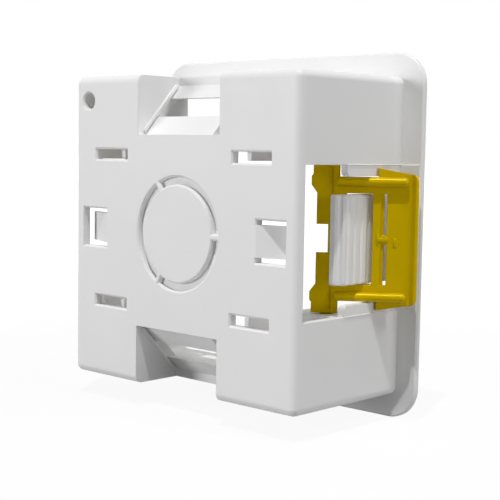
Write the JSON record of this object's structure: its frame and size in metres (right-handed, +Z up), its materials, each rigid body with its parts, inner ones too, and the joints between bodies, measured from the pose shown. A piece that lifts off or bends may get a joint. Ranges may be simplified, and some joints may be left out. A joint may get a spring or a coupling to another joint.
{
  "type": "dry lining back box",
  "caption": "Square shallow plastic back box with a rounded flange, cable notches, a knockout and swinging clamp lugs that grip behind a plasterboard wall.",
  "frame": {"origin": "middle of the faceplate screw pair, on the front plane of the flange", "axes": "+Y points back into the wall cavity, along the screws; +X runs from one faceplate screw to the other; +Z is up"},
  "size_m": [0.0898, 0.037, 0.084],
  "materials": {
    "white_plastic": "satin moulded",
    "yellow_plastic": "satin moulded",
    "brass": "turned"
  },
  "bodies": {
    "box": {"box_shell": "white_plastic", "screw_insert_left": "brass", "screw_insert_right": "brass"},
    "lug_left": {"clamp_lug_left": "yellow_plastic"},
    "lug_right": {"clamp_lug_right": "yellow_plastic"}
  },
  "joints": [
    {"name": "lug_left_fold", "type": "hinge", "parent": "box", "child": "lug_left", "pos_m": [-0.027, 0.0155, 0], "axis": [0, 0, -1], "range_deg": [0, 94]},
    {"name": "lug_right_fold", "type": "hinge", "parent": "box", "child": "lug_right", "pos_m": [0.027, 0.0155, 0], "axis": [0, 0, 1], "range_deg": [0, 94]}
  ]
}
